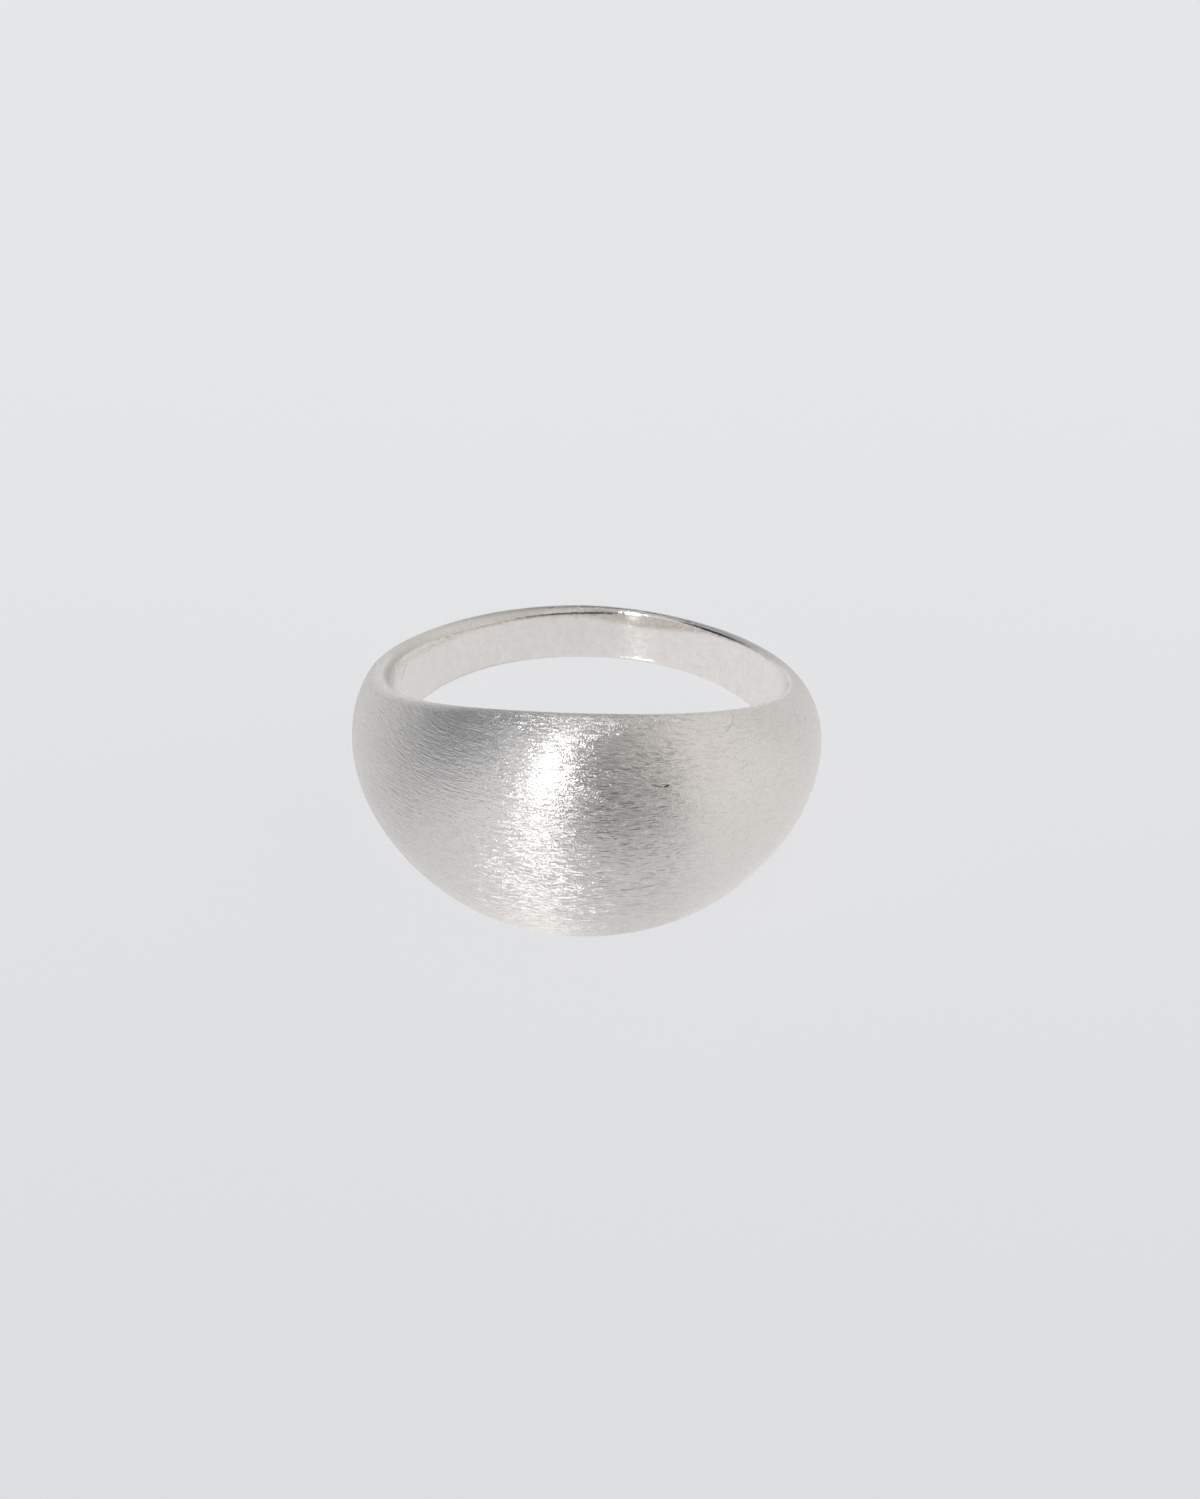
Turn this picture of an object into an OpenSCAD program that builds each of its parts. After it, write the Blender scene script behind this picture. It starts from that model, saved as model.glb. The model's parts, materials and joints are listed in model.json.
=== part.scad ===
// Dome ring: a plain one-piece band whose front swells into a smooth dome.
// It lies on its side, leaning back on the shank, with the dome towards -Y.

/* [Finger bore] */
// Inner diameter of the ring, where the finger goes
bore_d = 17.3; // [14:0.1:22]

/* [Dome] */
// Width of the dome along the finger
dome_w = 10.75; // [6:0.05:15]
// Thickness of the metal at the top of the dome
dome_t = 2.8; // [1.8:0.05:4.5]
// Radius of the rounded edge between the dome and the bore
dome_edge_r = 0.32; // [0.2:0.01:0.6]

/* [Shank] */
// Width of the shank opposite the dome
shank_w = 2.55; // [2:0.05:5]
// Thickness of the shank opposite the dome
shank_t = 1.15; // [0.95:0.05:1.6]
// Radius of the rounded edge between the shank and the bore
shank_edge_r = 0.42; // [0.2:0.01:0.45]

/* [Shoulders] */
// How quickly the width falls from the dome to the shank
width_taper = 1.7; // [1.2:0.1:3]
// How quickly the thickness falls from the dome to the shank
thick_taper = 2.2; // [1.2:0.1:4]

/* [Hidden] */

bore_r = bore_d / 2;
// Sections round the finger, facets across the crown and each rounded edge, and round the bore
sections = 96;
crown_steps = 14;
edge_steps = 3;
bore_steps = 180;
// Angle between the bore wall and the last facet of a rounded edge
edge_meet = 26;
// The rounding stops this many degrees short of that facet's own slope
edge_stop = 12;
// The blank reaches this far inside the bore wall before the bore is cut
bore_cut = 0.2;
// Length of the bore cutter beyond the dome at each end
cutter_over = 1;
// Halvings of the search for the angle at which the ring comes to rest
lean_steps = 24;
lean_most = 45;
// Colour of the brushed silver
silver = [0.82, 0.81, 0.79];

// Share of the dome left at an angle round the finger: 1 at the dome, 0 at the shank
function swell(a) = (1 + cos(a)) / 2;
function blend(shank, dome, share) = shank + (dome - shank) * share;
function half_w(a) = blend(shank_w, dome_w, pow(swell(a), width_taper)) / 2;
function thick(a) = blend(shank_t, dome_t, pow(swell(a), thick_taper));
function edge_r(a) = blend(shank_edge_r, dome_edge_r, swell(a));

// Section of the band at angle a, as [distance out from the bore wall, height along the finger].
// One crown arc spans the width and runs smoothly into a rounded edge on each side.
function section(a) =
    let (
        h = half_w(a) - edge_r(a),
        e = edge_r(a),
        edge_out = e * cos(edge_meet),
        top = thick(a) - e,
        // Depth of the crown arc's centre below the bore wall
        sink = (pow(edge_out, 2) + pow(h, 2) - pow(top, 2)) / (2 * (top - edge_out)),
        crown_r = sink + thick(a),
        crown_end = atan2(h, sink + edge_out),
        edge_end = 180 - edge_meet - edge_stop,
        upper = [
            for (i = [1:edge_steps])
                let (b = crown_end + (edge_end - crown_end) * i / edge_steps)
                [edge_out + e * cos(b), h + e * sin(b)]
        ],
        last = upper[edge_steps - 1],
        inner = [-bore_cut, last[1] - (last[0] + bore_cut) / tan(edge_meet)],
        crown = [
            for (i = [-crown_steps / 2:crown_steps / 2])
                let (b = crown_end * i / (crown_steps / 2))
                [crown_r * cos(b) - sink, crown_r * sin(b)]
        ],
        lower = [for (i = [edge_steps - 1:-1:0]) [upper[i][0], -upper[i][1]]]
    )
    concat([[inner[0], -inner[1]]], lower, crown, upper, [inner]);

// The same section set in place round the finger, with the bore along Z
function placed(a) = [
    for (p = section(a))
        [(bore_r + p[0]) * sin(a), -(bore_r + p[0]) * cos(a), p[1]]
];
function angle_of(i) = (i + 0.5) * 360 / sections;

// Leaning turns the bore about X, so that its upper end goes towards +Y
function leant_y(p, lean) = p[1] * cos(lean) + p[2] * sin(lean);
function leant_z(p, lean) = p[2] * cos(lean) - p[1] * sin(lean);
function lowest(points, lean) = min([for (p = points) leant_z(p, lean)]);

// At rest the dome's lower edge and the shank's lower edge touch the ground together
dome_points = placed(angle_of(0));
shank_points = placed(angle_of(sections / 2));
function rest_lean(low, high, steps) =
    let (mid = (low + high) / 2)
    steps == 0 ? mid
    : lowest(dome_points, mid) < lowest(shank_points, mid) ? rest_lean(mid, high, steps - 1)
    : rest_lean(low, mid, steps - 1);

lean = rest_lean(0, lean_most, lean_steps);
lift = -lowest(dome_points, lean);
front_y = min([for (p = dome_points) leant_y(p, lean)]);
back_y = max([for (p = shank_points) leant_y(p, lean)]);

// The band before the bore is cut, as one closed skin through all its sections
module blank() {
    rings = [for (i = [0:sections - 1]) placed(angle_of(i))];
    n = len(rings[0]);
    function at(i, j) = (i % sections) * n + j % n;
    polyhedron(
        points = [for (ring = rings) each ring],
        faces = [
            for (i = [0:sections - 1], j = [0:n - 1])
                each [
                    [at(i, j), at(i + 1, j), at(i + 1, j + 1)],
                    [at(i, j), at(i + 1, j + 1), at(i, j + 1)]
                ]
        ]
    );
}

module ring() {
    color(silver)
    translate([0, -(front_y + back_y) / 2, lift])
    rotate([-lean, 0, 0])
    difference() {
        blank();
        cylinder(r = bore_r, h = dome_w + 2 * cutter_over, center = true, $fn = bore_steps);
    }
}

ring();
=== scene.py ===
import bmesh
import bpy
import json
import math
from mathutils import Matrix, Vector, noise


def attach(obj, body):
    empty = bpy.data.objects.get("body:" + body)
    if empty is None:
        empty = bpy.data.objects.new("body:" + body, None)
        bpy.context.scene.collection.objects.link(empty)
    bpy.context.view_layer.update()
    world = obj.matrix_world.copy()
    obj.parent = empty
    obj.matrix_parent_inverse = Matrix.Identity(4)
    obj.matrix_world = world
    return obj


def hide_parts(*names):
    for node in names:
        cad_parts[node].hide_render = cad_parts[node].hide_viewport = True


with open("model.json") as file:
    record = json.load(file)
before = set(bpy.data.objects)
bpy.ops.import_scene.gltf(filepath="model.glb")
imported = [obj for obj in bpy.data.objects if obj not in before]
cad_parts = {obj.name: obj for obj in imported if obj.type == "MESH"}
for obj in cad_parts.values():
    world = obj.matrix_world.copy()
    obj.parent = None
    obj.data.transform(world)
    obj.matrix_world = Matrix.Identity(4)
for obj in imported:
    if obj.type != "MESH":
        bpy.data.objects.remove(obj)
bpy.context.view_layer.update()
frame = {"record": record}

mm = 0.001
fingerBore = next(m for m in frame["record"]["mounts"] if m["name"] == "finger_bore")
boreCentre = Vector(fingerBore["pos_m"])
boreAxis = Vector(fingerBore["axis"]).normalized()
lean = math.atan2(boreAxis.y, boreAxis.z)  # how far the ring leans back where it lies
ringPlace = Matrix.Translation(boreCentre) @ Matrix.Rotation(-lean, 4, "X")
print(f"frame loaded, bore leans {math.degrees(lean):.1f} degrees")


class Value:
    # A shader socket that adds its Math nodes where it meets an operator
    def __init__(self, sheet, socket):
        self.sheet, self.socket = sheet, socket

    def maths(self, operation, other=0.0, swapped=False):
        inputs = {0: other, 1: self} if swapped else {0: self, 1: other}
        return self.sheet.add("ShaderNodeMath", {"operation": operation}, inputs)

    def __add__(self, other): return self.maths("ADD", other)
    def __radd__(self, other): return self.maths("ADD", other)
    def __sub__(self, other): return self.maths("SUBTRACT", other)
    def __rsub__(self, other): return self.maths("SUBTRACT", other, swapped=True)
    def __mul__(self, other): return self.maths("MULTIPLY", other)
    def __rmul__(self, other): return self.maths("MULTIPLY", other)


class Sheet:
    # The node sheet of one material or world
    def __init__(self, tree):
        self.tree = tree

    def feed(self, node, inputs):
        for name, value in inputs.items():
            if isinstance(value, Value):
                self.tree.links.new(value.socket, node.inputs[name])
            else:
                node.inputs[name].default_value = value

    def add(self, kind, settings=None, inputs=None, out=0):
        node = self.tree.nodes.new(kind)
        for name, value in (settings or {}).items():
            setattr(node, name, value)
        self.feed(node, inputs or {})
        return Value(self, node.outputs[out])

    def ramp(self, value, start, end, before=0.0, after=1.0):
        settings = {"interpolation_type": "SMOOTHSTEP", "clamp": True}
        inputs = {"Value": value, "From Min": start, "From Max": end, "To Min": before, "To Max": after}
        return self.add("ShaderNodeMapRange", settings, inputs)

    def mixColour(self, factor, a, b):
        # Sockets 6, 7 and 2 are the node's colour ones, which share their names with other kinds
        settings = {"data_type": "RGBA", "clamp_factor": True}
        return self.add("ShaderNodeMix", settings, {0: factor, 6: a, 7: b}, out=2)

    def vector(self, operation, *parts, out="Vector"):
        return self.add("ShaderNodeVectorMath", {"operation": operation}, dict(enumerate(parts)), out)

    def distance(self, a, b):
        return self.vector("DISTANCE", a, b, out="Value")

    def split(self, vector):
        first = self.add("ShaderNodeSeparateXYZ", inputs={0: vector})
        return [Value(self, socket) for socket in first.socket.node.outputs]

    def join(self, x, y, z):
        return self.add("ShaderNodeCombineXYZ", inputs={0: x, 1: y, 2: z})

    def noise(self, vector, scale=1.0, detail=2.0, roughness=0.5):
        inputs = {"Vector": vector, "Scale": scale, "Detail": detail, "Roughness": roughness}
        return self.add("ShaderNodeTexNoise", {"noise_dimensions": "3D"}, inputs)

    def cells(self, vector):
        # How far away the nearest cell's centre is, and that cell's own random colour
        distance = self.add("ShaderNodeTexVoronoi", {"feature": "F1"}, {"Vector": vector, "Scale": 1.0})
        return distance, Value(self, distance.socket.node.outputs["Color"])


def addObject(name, data):
    thing = bpy.data.objects.new(name, data)
    bpy.context.scene.collection.objects.link(thing)
    return thing


# The ring's own form, in mm, in the ring's frame: bore along Z, dome towards -Y. Places round it are
# given in degrees from the dome, and so is how far round they reach
ringForm = {
    "boreRadius": fingerBore["dims"]["r_mm"],
    "domeWidth": 10.75,
    "domeThickness": 2.8,
    "domeEdge": 0.32,
    "shankWidth": 2.55,
    "shankThickness": 1.15,
    "shankEdge": 0.42,
    "widthTaper": 1.7,
    "thicknessTaper": 2.2,
    "skin": 0.015,  # the finished surface lies this far inside the CAD solid, apart from its swells
    "edgeMeet": 22.0,  # degrees between the bore wall and the end of the rounded edge
    "wornAround": -60.0,  # the upper edge is worn rounder here, by this much, and lower
    "wornReach": 32.0,
    "wornEdge": 0.26,
    "wornDrop": 0.10,
    "crispAround": 112.0,  # and stays sharp here
    "crispReach": 55.0,
    "crispEdge": -0.26,
    "fullAround": 132.0,  # the band is a little thicker here
    "fullReach": 28.0,
    "fullness": 0.14,
    "softAround": -105.0,  # no crease is left between edge and bore here
    "softReach": 38.0,
    "bevels": [  # the upper edge is rubbed down towards the bore here: degrees, reach, height, slope
        (163.0, 17.0, 0.42, 0.25),
        (-118.0, 24.0, 0.42, 0.22),
    ],
    "unevenness": 0.012,  # hand-finished swells in the outside, their size, and finer ones on them
    "swellSize": 3.2,
    "fineSwell": 0.4,
    "fineSwellsPerSwell": 2.3,
    "strokeNarrowing": 0.6,  # how much the strokes draw together towards the shank
    "stepsAround": 480,
    "crownSteps": 30,
    "edgeSteps": 10,
    "boreSteps": 8,
}


def ringSection(form, around, upperSide=False):
    # Half of the section, from the crown line over one rounded edge to the middle of the bore wall:
    # (distance out from the bore wall, height along the finger, 0 outside to 1 in the bore, arc length,
    # which runs back to nothing on the bore wall so that both halves meet)
    swell = (1 + math.cos(around)) / 2
    width = form["shankWidth"] + (form["domeWidth"] - form["shankWidth"]) * swell ** form["widthTaper"]
    thickness = form["shankThickness"]
    thickness += (form["domeThickness"] - form["shankThickness"]) * swell ** form["thicknessTaper"]
    edge = form["shankEdge"] + (form["domeEdge"] - form["shankEdge"]) * swell

    def nearness(centre, reach):
        away = (math.degrees(around) - centre + 180) % 360 - 180
        return math.exp(-(away / reach) ** 2)

    places = "worn", "crisp", "full", "soft"
    near = {name: nearness(form[name + "Around"], form[name + "Reach"]) for name in places}
    meet = math.radians(form["edgeMeet"]) * (1 - near["soft"])
    thickness += form["fullness"] * near["full"] - form["skin"]
    width -= 2 * form["skin"]
    if upperSide:
        edge += form["wornEdge"] * near["worn"] + form["crispEdge"] * near["crisp"]
        width -= 2 * form["wornDrop"] * near["worn"]

    # An arc for the crown, whose centre is sunk so that it runs smoothly into the edge's arc
    edgeOut = edge * math.cos(meet)
    high, top = width / 2 - edge, thickness - edge
    sink = (edgeOut ** 2 + high ** 2 - top ** 2) / (2 * (top - edgeOut))
    crownEnd = math.atan2(high, sink + edgeOut)
    points = []
    for i in range(form["crownSteps"]):
        a = crownEnd * i / form["crownSteps"]
        points.append(((sink + thickness) * math.cos(a) - sink, (sink + thickness) * math.sin(a), 0.0))
    for i in range(form["edgeSteps"] + 1):
        share = i / form["edgeSteps"]
        a = crownEnd + (math.pi - meet - crownEnd) * share
        points.append((edgeOut + edge * math.cos(a), high + edge * math.sin(a), share))
    wallEnd = points[-1][1]
    for i in range(1, form["boreSteps"] + 1):
        points.append((0.0, wallEnd * (1 - i / form["boreSteps"]), 1.0))
    for centre, reach, height, slope in form["bevels"] if upperSide else []:
        bevel = height * nearness(centre, reach)
        for i, (out, along, share) in enumerate(points):
            rubbed = min(max(along - wallEnd + bevel, 0.0), bevel) * slope
            points[i] = (out + rubbed * share ** 2, along, share)

    arc = 0.0
    section = [(*points[0], arc)]
    for before, after in zip(points, points[1:]):
        if after[2] < 1.0 or before[2] < 1.0:
            arc += math.dist(before[:2], after[:2])
        section.append((*after, arc if after[2] < 1.0 else arc * after[1] / wallEnd))
    return section


def ringPoint(form, around, height, out):
    radius = form["boreRadius"] + out
    return Vector((radius * math.sin(around), -radius * math.cos(around), height))


def surfacePoint(form, degrees, height, inBore):
    # The bore wall or the outside, so many degrees round from the dome and so high along the finger
    around = math.radians(degrees)
    if inBore:
        return ringPoint(form, around, height, 0.0)
    section = ringSection(form, around, upperSide=height > 0)
    for (out, along, *rest), (nextOut, nextAlong, *rest) in zip(section, section[1:]):
        if nextAlong >= abs(height):
            share = (abs(height) - along) / (nextAlong - along)
            return ringPoint(form, around, height, out + (nextOut - out) * share)


def buildRing(form):
    # A circle spun into a torus gives the faces, then each vertex moves to its place in the section
    half = form["crownSteps"] + form["edgeSteps"] + form["boreSteps"]
    steps = form["stepsAround"]
    torusRadius = 3.0
    mergeDistance = 1e-5
    bm = bmesh.new()
    bmesh.ops.create_circle(bm, cap_ends=False, radius=1.0, segments=2 * half)
    bmesh.ops.rotate(bm, verts=bm.verts, cent=(0, 0, 0), matrix=Matrix.Rotation(math.pi / 2, 3, "X"))
    bmesh.ops.translate(bm, verts=bm.verts, vec=(torusRadius, 0, 0))
    bmesh.ops.spin(bm, geom=bm.verts[:] + bm.edges[:], cent=(0, 0, 0), axis=(0, 0, 1), angle=2 * math.pi,
                   steps=steps, use_merge=True, use_duplicate=False)
    bmesh.ops.remove_doubles(bm, verts=bm.verts, dist=mergeDistance)
    across = bm.verts.layers.float.new("across")
    inside = bm.verts.layers.float.new("inside")
    widest = max(point[3] for point in ringSection(form, 0.0))
    sections, narrowing = [], []
    for place in range(steps):
        around = 2 * math.pi * place / steps
        sections.append((ringSection(form, around), ringSection(form, around, upperSide=True)))
        arcLength = max(point[3] for point in sections[place][0])
        narrowing.append((arcLength / widest) ** form["strokeNarrowing"])
    for vert in bm.verts:
        place = round(math.atan2(vert.co.y, vert.co.x) / (2 * math.pi) * steps) % steps
        turn = math.atan2(vert.co.z, math.hypot(vert.co.x, vert.co.y) - torusRadius)
        number = round(turn / math.pi * half)
        side = 1 if number >= 0 else -1
        out, along, inBore, arc = sections[place][number > 0][abs(number)]
        around = 2 * math.pi * place / steps
        point = ringPoint(form, around, side * along, out)
        spot = point / form["swellSize"]
        swell = noise.noise(spot) + form["fineSwell"] * noise.noise(spot * form["fineSwellsPerSwell"])
        outward = Vector((math.sin(around), -math.cos(around), 0))
        vert.co = point + outward * (swell * (1 - inBore) * form["unevenness"])
        vert[across] = side * arc / narrowing[place]
        vert[inside] = inBore
    bm.transform(ringPlace @ Matrix.Scale(mm, 4))
    bmesh.ops.recalc_face_normals(bm, faces=bm.faces)
    for face in bm.faces:
        face.smooth = True
    mesh = bpy.data.meshes.new("silverRing")
    bm.to_mesh(mesh)
    bm.free()
    print(f"ring: {len(mesh.vertices)} vertices, {len(mesh.polygons)} faces")
    return addObject("silverRing", mesh)


# The brushed finish, in mm and in the ring's frame
silverFinish = {
    "colour": (0.94, 0.905, 0.865, 1),
    # The bore's colour goes from darker at its left to lighter at its right: painted shade and painted
    # light
    "boreColour": (0.885, 0.85, 0.81, 1),
    "boreColourRight": (0.955, 0.92, 0.88, 1),
    "cloudColour": (0.5, 0.47, 0.45, 1),
    "openColour": (0.05, 0.045, 0.04, 1),  # the painted shade of open scratches and nicks, and the dark of speckle and tarnish
    "anisotropy": 0.94,
    "brushTurn": 0.25,  # a quarter turn draws the highlights out across the strokes
    "roughness": 0.37,
    "boreRoughness": 0.13,
    "upperTilt": 0.06,  # the upper strokes fall to the right by this slope, and by the fade "fall"
    "driftPerMm": 0.4,  # and all strokes wander this slowly and this far
    "wander": 0.2,
    # Layers of strokes: how many per mm across and along, their slope against the ring's plane, an
    # offset that parts the layers, and their steepness
    "strokes": [
        (15.0, 1.5, 0.02, 0.0, 0.22),
        (7.0, 1.2, 0.02, 80.0, 0.06),
    ],
    "crossings": [
        (11.0, 2.6, 0.40, 40.0, 0.15),
        (11.0, 2.6, -0.40, 60.0, 0.15),
    ],
    "longStrokes": [
        (14.0, 1.3, 0.00, 100.0, 0.40),
        (11.0, 1.8, 0.18, 130.0, 0.24),
    ],
    "grooves": [
        (12.0, 1.4, -0.02, 20.0, 0.228),
        (11.0, 1.6, 0.08, 60.0, 0.228),
    ],
    "strokeBreakup": 0.6,
    "grooveEdge": (0.62, 0.67),  # the strokes' height, of 1, at a groove's edge and full depth
    "groovesOutside": 0.2,  # this share of the grooves goes on beyond the middle
    "dashes": [  # flat little cuts, each facing its own way: the layer's numbers, then how far they turn
        (13.0, 2.0, 0.0, 11.0, 0.14),
        (17.0, 5.0, 0.0, 37.0, 0.20),
    ],
    "openDashes": [  # painted shade: dark dashes that stand in for the shade in open scratches, the layer's numbers, then the share of cells that hold one
        (14.0, 0.9, 0.05, 5.0, 0.75),
        (18.0, 1.7, 0.05, 23.0, 0.80),
    ],
    "openEdge": (0.30, 0.15),  # how far from a cell's centre its painted shade begins and is full
    # how dark the painted shade in the dashes is
    "openDark": 0.7,
    "tarnishEdge": (0.54, 0.70),
    "tarnish": 0.05,
    "speckleEdge": (0.45, 0.75),
    "speckle": 0.11,
    "grainsPerMm": 12.0,  # a fine grain lies over the strokes, steeper at the rim
    "grain": 0.17,
    "rimGrain": 0.26,
    "boreGrain": 0.13,
    "boreTurn": 0.062,  # how far the bore's polish turns the light aside
    "boreLinesPerMm": 3.5,  # round the bore, and along it
    "boreLinesRisePerMm": 0.6,
    "boreLine": 0.04,
    "boreMottlePerMm": 3.4,
    "boreMottle": 0.045,
    "boreMottleDulling": 0.08,
    "boreCloudEdge": (0.62, 0.36),
    "boreCloud": 0.12,
    # Two places of their own: degrees round, height and how far out from the bore wall, then how far from
    # there their effect starts and ends and its levels. The core is rubbed smoother, and the spark is
    # duller, where the edge glints
    "core": (-10.5, 3.2, 1.72),
    "coreFade": (0.6, 1.8, 0.5, 1.0),
    "spark": (169.3, 1.22, 0.14),
    "sparkFade": (0.9, 0.2, 0.0, 0.12),
    # Where each effect fades in or out: coordinate, start, end, and the levels there if not 0 and 1.
    # Steps of the same effect are multiplied
    "fades": {
        "upper": [("z", 2.2, 4.8)],
        "fall": [("x", 1.0, 8.0, 0.0, 1.8)],
        "middle": [("x", -4.8, -2.6), ("x", 5.4, 3.4)],
        "crossings": [("z", -1.0, 3.0, 0.2, 1.0), ("z", 4.5, 3.9, 0.4, 1.0)],
        "longStrokes": [("x", 2.5, 5.0, 1.0, 0.5), ("x", -8.5, -6.0, 2.2, 1.0)],
        "rimGrain": [("awayFromMiddle", 4.55, 5.15)],
        "intoBore": [("inside", 0.3, 0.8)],
        "ontoShank": [("y", 2.0, 6.0)],
        "lowDashes": [("z", 1.4, -2.6, 0.33, 1.1)],
        "rimDashes": [("z", 4.45, 4.9)],
        "dashes": [("x", -7.0, -2.6, 0.35, 1.0), ("x", 6.5, 2.5, 0.4, 1.0)],
        "rimTurn": [("z", 4.0, 4.9, 0.0, -0.075), ("x", -4.0, -1.5), ("x", 4.5, 1.0)],
        "polishStart": [("x", -1.0, -4.0, 0.4, 0.9)],
        "shankEdge": [("inside", 0.15, 0.4), ("y", 3.0, 7.0), ("x", -4.0, 0.0), ("z", -0.2, 0.6)],
        "boreColour": [("inside", 0.4, 0.9)],
        "boreColourRight": [("x", -1.0, 5.0)],
        "openDashes": [
            ("x", -0.6, 1.0), ("x", 5.0, 3.6), ("y", -7.0, -9.0),
            ("z", 4.6, 4.0), ("z", -5.0, 1.0, 0.3, 1.0),
        ],
    },
    # Single nicks and scratches: both ends, each in degrees round from the dome and height along the
    # finger, then half width, depth and darkness, which is painted shade in the nick's groove
    "marks": {
        "outside": [
            ((43.9, 4.36), (41.4, 4.10), 0.035, 0.016, 0.12),
            ((41.4, 4.10), (38.2, 3.98), 0.035, 0.016, 0.12),
            ((70.8, 2.75), (68.5, 2.39), 0.070, 0.030, 0.15),
            ((74.9, 2.22), (72.4, 2.11), 0.070, 0.030, 0.15),
            ((26.7, 4.38), (26.7, 4.38), 0.050, -0.025, 0.0),
            ((16.1, 2.82), (18.6, 2.69), 0.045, 0.020, 0.70),
            ((18.6, 2.69), (19.9, 2.73), 0.055, 0.035, 0.95),
            ((13.0, 3.45), (13.6, 3.40), 0.040, 0.030, 0.6),
            ((11.1, 2.01), (19.4, 1.83), 0.048, 0.014, 0.5),
            ((9.0, -1.96), (17.0, -1.81), 0.050, 0.014, 0.5),
        ],
        "bore": [
            ((128.0, 0.84), (128.0, 0.84), 0.100, 0.016, 0.02),
            ((-112.1, 1.10), (-107.5, 0.55), 0.070, -0.025, 0.0),
        ],
    },
}


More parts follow.
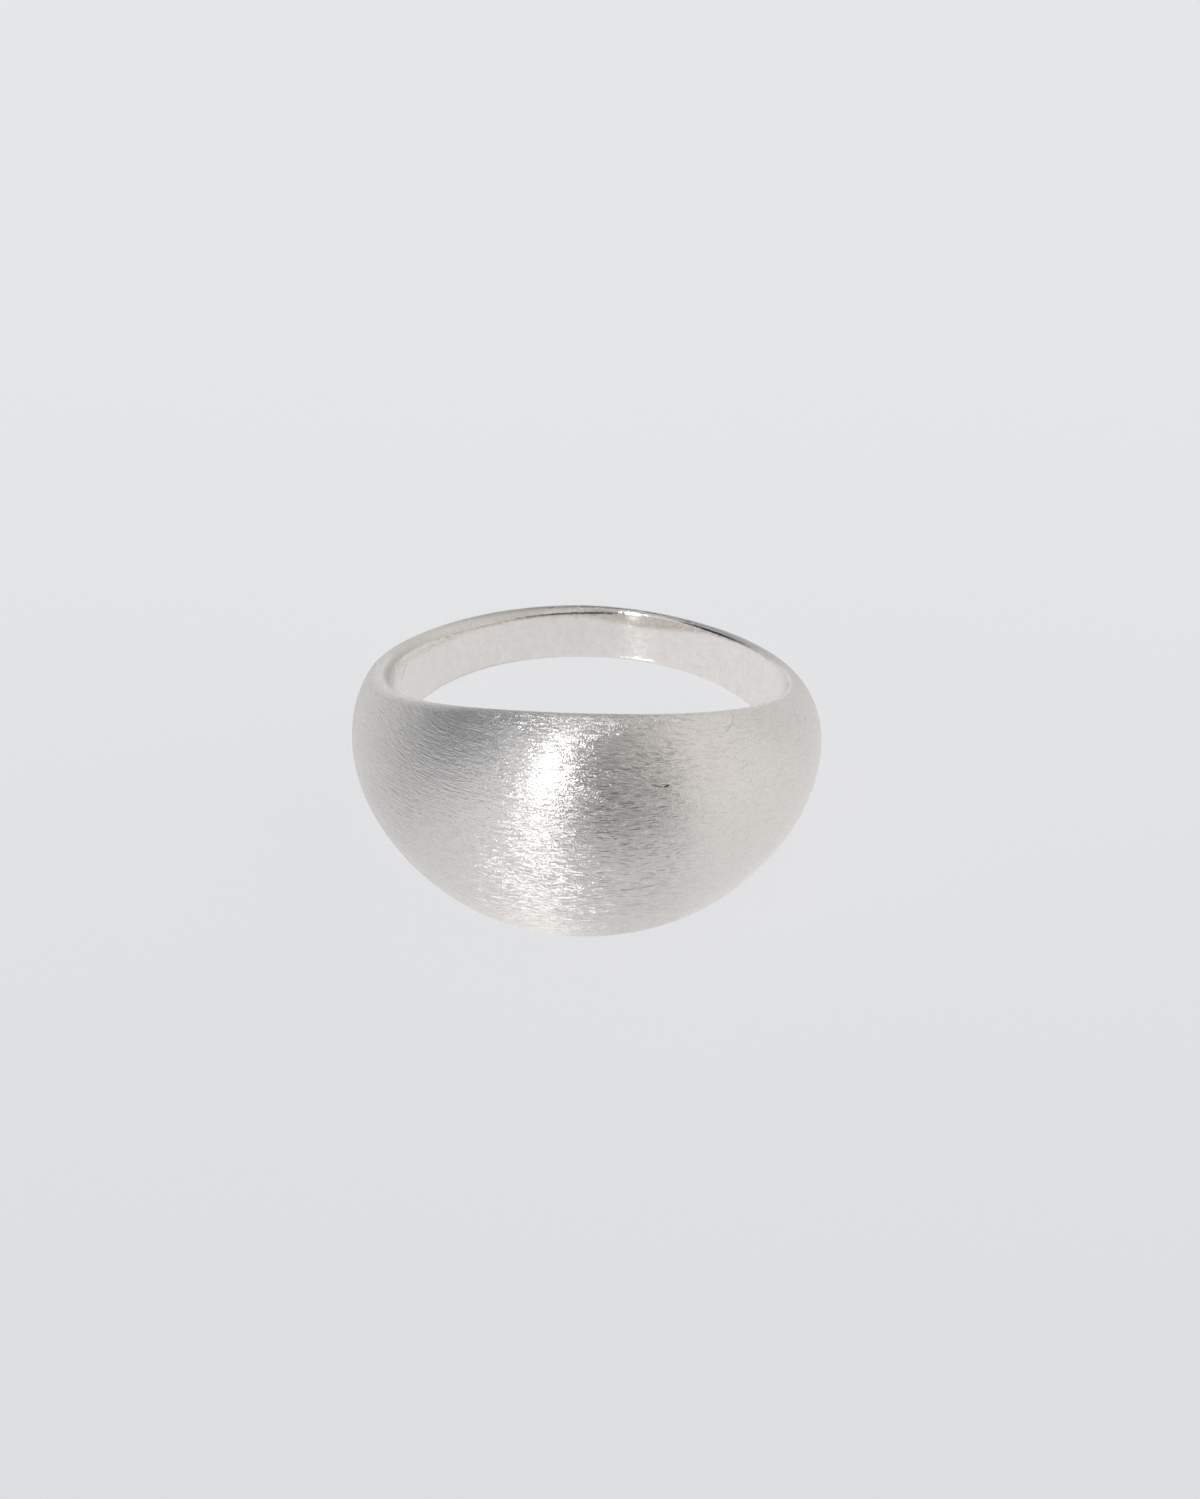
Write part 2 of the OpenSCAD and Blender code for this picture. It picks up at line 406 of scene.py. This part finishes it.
def brushedSilver(finish, form):
    material = bpy.data.materials.new("brushedSilver")
    material.use_nodes = True
    sheet = Sheet(material.node_tree)
    toRing = ringPlace.inverted()
    toMm = {"Location": toRing.translation / mm, "Rotation": toRing.to_euler(), "Scale": (1 / mm,) * 3}
    place = sheet.add("ShaderNodeTexCoord", out="Object")
    place = sheet.add("ShaderNodeMapping", {"vector_type": "POINT"}, {"Vector": place, **toMm})
    x, y, z = sheet.split(place)
    inside = sheet.add("ShaderNodeAttribute", {"attribute_name": "inside"}, out="Fac")
    across = sheet.add("ShaderNodeAttribute", {"attribute_name": "across"}, out="Fac")
    coordinates = {"x": x, "y": y, "z": z, "awayFromMiddle": z.maths("ABSOLUTE"), "inside": inside}

    def fade(name):
        product, *others = [sheet.ramp(coordinates[c], *step) for c, *step in finish["fades"][name]]
        for other in others:
            product = product * other
        return product

    drift = sheet.noise(place, scale=finish["driftPerMm"], detail=1.0) - 0.5
    across = across + fade("upper") * (fade("fall") + x * finish["upperTilt"]) + drift * finish["wander"]

    def fadeRound(name):
        degrees, height, out = finish[name]
        centre = ringPoint(form, math.radians(degrees), height, out)
        return sheet.ramp(sheet.distance(place, centre), *finish[name + "Fade"])

    def layer(perMm, alongPerMm, slope, offset):
        tilted = across + x * slope if slope else across
        return sheet.join((x + offset) * alongPerMm, (y - offset) * alongPerMm, tilted * perMm)

    def strokes(*numbers):
        return sheet.noise(layer(*numbers), detail=1.0, roughness=finish["strokeBreakup"])

    # The height of the brushed outside, in mm
    height = tarnish = 0.0
    middle = fade("middle")
    for layers, shown in (("strokes", middle), ("crossings", middle * fade("crossings"))):
        for perMm, *numbers, steepness in finish[layers]:
            height = strokes(perMm, *numbers) * (shown * (steepness / perMm)) + height
    shown = (1 - middle) * fade("longStrokes")
    for perMm, *numbers, steepness in finish["longStrokes"]:
        stroke = strokes(perMm, *numbers)
        tarnish = sheet.ramp(stroke, *finish["tarnishEdge"], 0.0, finish["tarnish"]) + tarnish
        height = stroke * (shown * (steepness / perMm)) + height
    shown = middle * (1 - finish["groovesOutside"]) + finish["groovesOutside"]
    for perMm, *numbers, steepness in finish["grooves"]:
        groove = sheet.ramp(strokes(perMm, *numbers), *finish["grooveEdge"], 0.0, -steepness / perMm)
        height = groove * shown + height
    speckle = sheet.noise(place, scale=finish["grainsPerMm"], detail=1.0)
    grain = speckle * (1 / finish["grainsPerMm"])
    height = grain * (fade("rimGrain") * finish["rimGrain"] + finish["grain"]) + height
    rubbed = fadeRound("core")
    brushed = 1 - fade("intoBore").maths("MAXIMUM", inside * fade("ontoShank"))
    height = height * rubbed * brushed

    # The bore's own fine grain, lines and mottle, and the single marks
    height = grain * inside * finish["boreGrain"] + height
    linesPerMm = finish["boreLinesPerMm"]
    lines = sheet.noise(sheet.join(x * linesPerMm, y * linesPerMm, z * finish["boreLinesRisePerMm"]))
    height = lines * inside * (finish["boreLine"] / linesPerMm) + height
    mottle = sheet.noise(place, scale=finish["boreMottlePerMm"])
    height = mottle * inside * (finish["boreMottle"] / finish["boreMottlePerMm"]) + height
    darkness = tarnish * brushed
    marks = [(name == "bore", *mark) for name, group in finish["marks"].items() for mark in group]
    for inBore, *ends, halfWidth, depth, dark in marks:
        start, end = (surfacePoint(form, *spot, inBore) for spot in ends)
        length = (end - start).length
        apart = sheet.distance(place, start) + sheet.distance(place, end)
        scar = sheet.ramp(apart, math.hypot(length, 2 * halfWidth), length)
        height = scar * -depth + height
        # A nick's darkness is painted shade in its groove
        if dark > 0:
            darkness = (scar * dark).maths("MAXIMUM", darkness)

    # Dashes turn the surface by the signed square of a random vector, so most of them turn little
    facing = sheet.add("ShaderNodeNewGeometry", out="Normal")
    rougher = fade("lowDashes").maths("MAXIMUM", fade("rimDashes")) * fade("dashes") * brushed * rubbed
    for *numbers, turn in finish["dashes"]:
        centred = sheet.vector("SUBTRACT", sheet.cells(layer(*numbers))[1], (0.5, 0.5, 0.5))
        squared = sheet.vector("MULTIPLY", centred, sheet.vector("ABSOLUTE", centred))
        inputs = {0: squared, "Scale": rougher * (turn / 0.5 ** 2)}
        turned = sheet.add("ShaderNodeVectorMath", {"operation": "SCALE"}, inputs)
        facing = sheet.vector("ADD", facing, turned)
    aside = fade("rimTurn") * (1 - inside) + inside * finish["boreTurn"]
    facing = sheet.vector("NORMALIZE", sheet.vector("ADD", facing, sheet.join(aside, 0.0, 0.0)))
    inputs = {"Strength": 1.0, "Distance": mm, "Height": height, "Normal": facing}
    bump = sheet.add("ShaderNodeBump", inputs=inputs)

    polished = sheet.ramp(inside, fade("polishStart"), 1.0).maths("MAXIMUM", fade("shankEdge"))
    rough = finish["roughness"] + polished * (finish["boreRoughness"] - finish["roughness"])
    rough = rough + (mottle - 0.5) * inside * finish["boreMottleDulling"]
    rough = rough + fadeRound("spark")

    # Painted shade and light: the bore's colour is darker at its left and lighter towards its right
    boreColour = sheet.mixColour(fade("boreColourRight"), finish["boreColour"], finish["boreColourRight"])
    cloudy = sheet.ramp(mottle, *finish["boreCloudEdge"], 0.0, finish["boreCloud"])
    boreColour = sheet.mixColour(cloudy, boreColour, finish["cloudColour"])
    colour = sheet.mixColour(fade("boreColour"), finish["colour"], boreColour)
    darkness = darkness + sheet.ramp(speckle, *finish["speckleEdge"], 0.0, finish["speckle"])
    # Painted shade: dark dashes that stand in for the shade in open scratches
    shown = fade("openDashes") * brushed
    for *numbers, share in finish["openDashes"]:
        distance, cellColour = sheet.cells(layer(*numbers))
        chosen = sheet.split(cellColour)[0].maths("LESS_THAN", share)
        dash = sheet.ramp(distance, *finish["openEdge"]) * chosen * shown
        darkness = (dash * finish["openDark"]).maths("MAXIMUM", darkness)
    # The dark colour carries painted shade from the dashes and nicks, and the speckle and tarnish
    colour = sheet.mixColour(darkness, colour, finish["openColour"])

    sheet.feed(material.node_tree.nodes["Principled BSDF"], {
        "Base Color": colour,
        "Metallic": 1.0,
        "Roughness": rough,
        "Anisotropic": finish["anisotropy"],
        "Anisotropic Rotation": finish["brushTurn"],
        "Normal": bump,
    })
    return material


ring = buildRing(ringForm)
ring.data.materials.append(brushedSilver(silverFinish, ringForm))
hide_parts("ring")
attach(ring, "root")
print("silver done")


def compass(azimuth, elevation):
    # Azimuth 0 is towards the camera, along -Y, and 90 is to its right
    a, e = math.radians(azimuth), math.radians(elevation)
    return Vector((math.sin(a) * math.cos(e), -math.cos(a) * math.cos(e), math.sin(e)))


# What the ring mirrors: soft regions of a room, while the camera itself sees only the surround
roomSettings = {
    "level": 1.0,
    "colour": (0.41, 0.425, 0.445, 1),
    "surround": (0.77, 0.775, 0.785, 1),
    "regions": {  # azimuth, elevation, inner and outer half-angle, colour, the later over the earlier
        "paleFrontLeft": (-44, 30, 8, 42, (0.70, 0.72, 0.75, 1)),
        "brightRight": (88, 18, 10, 52, (0.815, 0.800, 0.786, 1)),
        "paleOverheadRight": (70, 60, 5, 28, (0.75, 0.72, 0.69, 1)),
        "paleLowLeft": (-66, 2, 12, 35, (0.87, 0.89, 0.91, 1)),
        "paleLeftBehind": (-138, 4, 8, 28, (0.54, 0.55, 0.56, 1)),
        "darkLeft": (-89, 34, 14, 31, (0.04, 0.045, 0.065, 1)),
        "paleOverheadLeft": (-152, 70, 8, 25, (0.62, 0.62, 0.64, 1)),
        "darkCamera": (10, 28, 17, 29, (0.05, 0.05, 0.05, 1)),
        "darkRightFront": (31, 26, 12, 24, (0.04, 0.04, 0.04, 1)),
        "paleBehind": (150, 26, 13, 34, (0.68, 0.67, 0.66, 1)),
        "darkBehind": (-178, 33, 9, 16, (0.03, 0.03, 0.03, 1)),
    },
}


def buildRoom(settings):
    world = bpy.data.worlds.new("studioRoom")
    bpy.context.scene.world = world
    world.use_nodes = True
    sheet = Sheet(world.node_tree)
    direction = sheet.add("ShaderNodeTexCoord", out="Generated")
    colour = settings["colour"]
    for azimuth, elevation, inner, outer, shade in settings["regions"].values():
        towards = sheet.vector("DOT_PRODUCT", direction, compass(azimuth, elevation), out="Value")
        share = sheet.ramp(towards, math.cos(math.radians(outer)), math.cos(math.radians(inner)))
        colour = sheet.mixColour(share, colour, shade)
    seen = sheet.add("ShaderNodeLightPath", out="Is Camera Ray")
    colour = sheet.mixColour(seen, colour, settings["surround"])
    sheet.feed(world.node_tree.nodes["Background"], {"Color": colour, "Strength": settings["level"]})


# A pale floor, in metres, painted a little paler towards the back as a painted light gradient
floorSettings = {
    "size": 1.2,
    "near": (0.207, 0.209, 0.213, 1),
    "far": (0.226, 0.228, 0.232, 1),
    "fade": (-0.055, 0.05),
    "roughness": 0.9,
}


def buildFloor(settings):
    bm = bmesh.new()
    bmesh.ops.create_grid(bm, x_segments=1, y_segments=1, size=settings["size"] / 2)
    mesh = bpy.data.meshes.new("paleFloor")
    bm.to_mesh(mesh)
    bm.free()
    floor = addObject("paleFloor", mesh)
    material = bpy.data.materials.new("palePaper")
    material.use_nodes = True
    sheet = Sheet(material.node_tree)
    y = sheet.split(sheet.add("ShaderNodeTexCoord", out="Object"))[1]
    # Painted light: the floor's colour grows paler towards the back
    shade = sheet.mixColour(sheet.ramp(y, *settings["fade"]), settings["near"], settings["far"])
    sheet.feed(material.node_tree.nodes["Principled BSDF"], {
        "Base Color": shade,
        "Roughness": settings["roughness"],
        "Specular IOR Level": 0.0,
    })
    mesh.materials.append(material)
    return floor


# Small hard lights at the front left, one under another, draw the dome's streak and light only the
# ring, and a sun without shadows lights only the floor
lightSettings = {
    "keys": {  # azimuth, elevation and watts
        "keyLight": (-22, 47, 0.37),
        "lowLight": (-24, 14, 0.060),
        "bounceLight": (-21, -38, 0.145),
        "boreLight": (-21, -15, 0.010),
    },
    "keyRadius": 0.006,
    "keyDistance": 0.5,
    "floorLight": 9.45,
    "floorLightAngle": 1.0,
}


def buildLights(settings, ring, floor):
    onlyRing = bpy.data.collections.new("onlyRing")
    onlyRing.objects.link(ring)
    onlyFloor = bpy.data.collections.new("onlyFloor")
    onlyFloor.objects.link(floor)
    for name, (azimuth, elevation, watts) in settings["keys"].items():
        key = bpy.data.lights.new(name, "AREA")
        key.shape = "DISK"
        key.size = 2 * settings["keyRadius"]
        key.energy = watts
        keyObject = addObject(name, key)
        towards = compass(azimuth, elevation)
        keyObject.location = boreCentre + towards * settings["keyDistance"]
        keyObject.rotation_euler = towards.to_track_quat("Z", "Y").to_euler()
        keyObject.light_linking.receiver_collection = onlyRing
        keyObject.light_linking.blocker_collection = onlyRing
        keyObject.visible_camera = False
    soft = bpy.data.lights.new("floorLight", "SUN")
    soft.energy = settings["floorLight"]
    soft.angle = math.radians(settings["floorLightAngle"])
    soft.use_shadow = False
    addObject("floorLight", soft).light_linking.receiver_collection = onlyFloor


# The camera's angle is given to the ring's own plane, which leans back from the floor's
cameraSettings = {
    "abovePlane": 28.09,
    "yaw": -0.88,
    "roll": -1.47,
    "distance": 320.0,
    "pixelsPerMm": 22.99,
    "centrePixel": (587.2, 726.4),
    "frameSize": (1200, 1499),
    "sensorWidth": 36.0,
    "clip": (0.01, 10),
}


def buildCamera(settings):
    above, yaw, roll = (math.radians(settings[k]) for k in ("abovePlane", "yaw", "roll"))
    right = Vector((math.cos(yaw), -math.sin(yaw), 0))
    back = Vector((math.sin(yaw), math.cos(yaw), 0))
    forward = back * math.cos(above) - Vector((0, 0, math.sin(above)))
    up = back * math.sin(above) + Vector((0, 0, math.cos(above)))
    right, up = right * math.cos(roll) - up * math.sin(roll), right * math.sin(roll) + up * math.cos(roll)
    wide, tall = settings["frameSize"]
    aside = (wide / 2 - settings["centrePixel"][0]) / settings["pixelsPerMm"]
    below = (tall / 2 - settings["centrePixel"][1]) / settings["pixelsPerMm"]
    target = right * aside - up * below
    place = -forward * settings["distance"]
    forward = (target - place).normalized()
    right = (right - forward * right.dot(forward)).normalized()
    up = right.cross(forward)
    turn = Matrix((right, up, -forward)).transposed().to_4x4()
    camera = bpy.data.cameras.new("photoCamera")
    camera.sensor_width = settings["sensorWidth"]
    camera.lens = settings["pixelsPerMm"] * settings["distance"] / tall * settings["sensorWidth"]
    camera.clip_start, camera.clip_end = settings["clip"]
    cameraObject = addObject("photoCamera", camera)
    cameraObject.matrix_world = ringPlace @ Matrix.Translation(place * mm) @ turn
    bpy.context.scene.camera = cameraObject


floor = buildFloor(floorSettings)
buildRoom(roomSettings)
buildLights(lightSettings, ring, floor)
buildCamera(cameraSettings)
bpy.context.scene.view_settings.view_transform = "Standard"
print("stage done")
